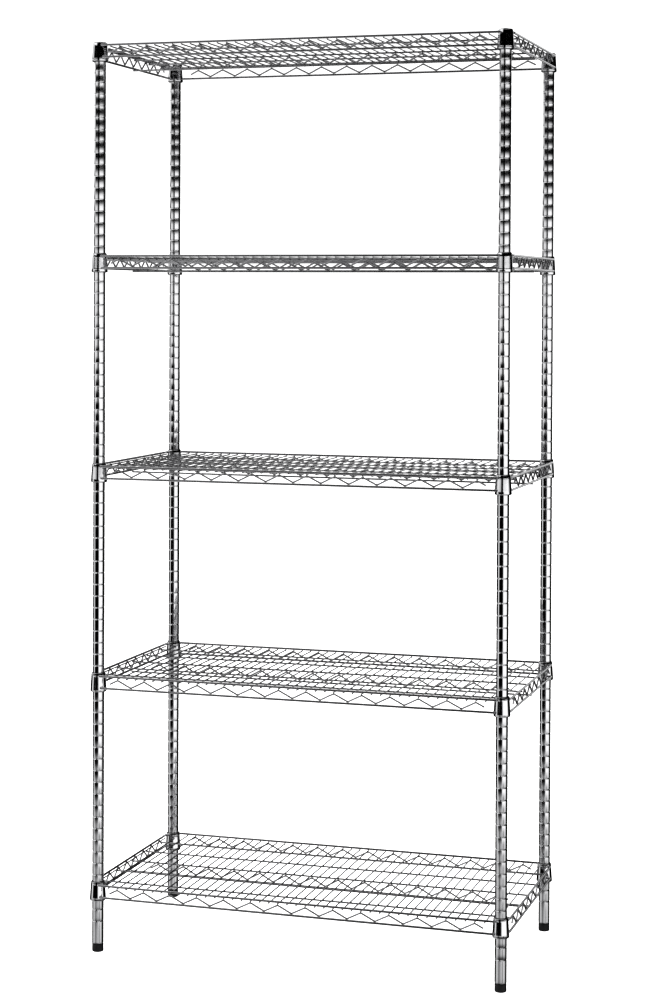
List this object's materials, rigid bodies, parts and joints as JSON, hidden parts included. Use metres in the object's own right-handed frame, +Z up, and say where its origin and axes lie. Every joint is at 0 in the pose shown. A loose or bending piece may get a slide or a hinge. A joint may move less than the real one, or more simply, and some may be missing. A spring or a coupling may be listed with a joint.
{
  "type": "wire shelving rack",
  "caption": "Tall free-standing rack of welded chrome wire shelves held by tapered corner collars on grooved round posts with levelling feet.",
  "frame": {"origin": "centre of the footprint on the floor, under the middle of the rack", "axes": "+Z up the posts, the front long side faces -Y, +X to the right seen from the front"},
  "size_m": [0.936, 0.486, 1.9852],
  "materials": {
    "post_chrome": "polished chrome plate",
    "wire_chrome": "polished chrome plate",
    "collar_chrome": "polished chrome plate",
    "sleeve_plastic": "fine moulded black",
    "cap_plastic": "moulded black",
    "foot_plastic": "moulded black",
    "screw_steel": "zinc plated"
  },
  "bodies": {
    "posts": {"post_front_left": "post_chrome", "post_front_right": "post_chrome", "post_back_left": "post_chrome", "post_back_right": "post_chrome", "post_caps": "cap_plastic", "threaded_inserts": "screw_steel", "shelf_1_sleeve_front_left": "sleeve_plastic", "shelf_1_sleeve_front_right": "sleeve_plastic", "shelf_1_sleeve_back_left": "sleeve_plastic", "shelf_1_sleeve_back_right": "sleeve_plastic", "shelf_2_sleeve_front_left": "sleeve_plastic", "shelf_2_sleeve_front_right": "sleeve_plastic", "shelf_2_sleeve_back_left": "sleeve_plastic", "shelf_2_sleeve_back_right": "sleeve_plastic", "shelf_3_sleeve_front_left": "sleeve_plastic", "shelf_3_sleeve_front_right": "sleeve_plastic", "shelf_3_sleeve_back_left": "sleeve_plastic", "shelf_3_sleeve_back_right": "sleeve_plastic", "shelf_4_sleeve_front_left": "sleeve_plastic", "shelf_4_sleeve_front_right": "sleeve_plastic", "shelf_4_sleeve_back_left": "sleeve_plastic", "shelf_4_sleeve_back_right": "sleeve_plastic", "shelf_5_sleeve_front_left": "sleeve_plastic", "shelf_5_sleeve_front_right": "sleeve_plastic", "shelf_5_sleeve_back_left": "sleeve_plastic", "shelf_5_sleeve_back_right": "sleeve_plastic"},
    "shelf_1": {"shelf_1_collars": "collar_chrome", "shelf_1_long_trusses": "wire_chrome", "shelf_1_end_trusses": "wire_chrome", "shelf_1_middle_truss": "wire_chrome", "shelf_1_deck": "wire_chrome"},
    "shelf_2": {"shelf_2_collars": "collar_chrome", "shelf_2_long_trusses": "wire_chrome", "shelf_2_end_trusses": "wire_chrome", "shelf_2_middle_truss": "wire_chrome", "shelf_2_deck": "wire_chrome"},
    "shelf_3": {"shelf_3_collars": "collar_chrome", "shelf_3_long_trusses": "wire_chrome", "shelf_3_end_trusses": "wire_chrome", "shelf_3_middle_truss": "wire_chrome", "shelf_3_deck": "wire_chrome"},
    "shelf_4": {"shelf_4_collars": "collar_chrome", "shelf_4_long_trusses": "wire_chrome", "shelf_4_end_trusses": "wire_chrome", "shelf_4_middle_truss": "wire_chrome", "shelf_4_deck": "wire_chrome"},
    "shelf_5": {"shelf_5_collars": "collar_chrome", "shelf_5_long_trusses": "wire_chrome", "shelf_5_end_trusses": "wire_chrome", "shelf_5_middle_truss": "wire_chrome", "shelf_5_deck": "wire_chrome"},
    "foot_front_left": {"foot_pad_front_left": "foot_plastic", "foot_screw_front_left": "screw_steel"},
    "foot_front_right": {"foot_pad_front_right": "foot_plastic", "foot_screw_front_right": "screw_steel"},
    "foot_back_left": {"foot_pad_back_left": "foot_plastic", "foot_screw_back_left": "screw_steel"},
    "foot_back_right": {"foot_pad_back_right": "foot_plastic", "foot_screw_back_right": "screw_steel"}
  },
  "joints": [
    {"name": "shelf_1_lift", "type": "slide", "parent": "posts", "child": "shelf_1", "axis": [0, 0, 1], "range_m": [0, 0.0762]},
    {"name": "shelf_2_lift", "type": "slide", "parent": "posts", "child": "shelf_2", "axis": [0, 0, 1], "range_m": [0, 0.381]},
    {"name": "shelf_3_lift", "type": "slide", "parent": "posts", "child": "shelf_3", "axis": [0, 0, 1], "range_m": [0, 0.381]},
    {"name": "shelf_4_lift", "type": "slide", "parent": "posts", "child": "shelf_4", "axis": [0, 0, 1], "range_m": [0, 0.381]},
    {"name": "shelf_5_lift", "type": "slide", "parent": "posts", "child": "shelf_5", "axis": [0, 0, 1], "range_m": [0, 0.381]},
    {"name": "foot_front_left_screw", "type": "slide", "parent": "posts", "child": "foot_front_left", "axis": [0, 0, -1], "range_m": [0, 0.02]},
    {"name": "foot_front_right_screw", "type": "slide", "parent": "posts", "child": "foot_front_right", "axis": [0, 0, -1], "range_m": [0, 0.02]},
    {"name": "foot_back_left_screw", "type": "slide", "parent": "posts", "child": "foot_back_left", "axis": [0, 0, -1], "range_m": [0, 0.02]},
    {"name": "foot_back_right_screw", "type": "slide", "parent": "posts", "child": "foot_back_right", "axis": [0, 0, -1], "range_m": [0, 0.02]}
  ]
}
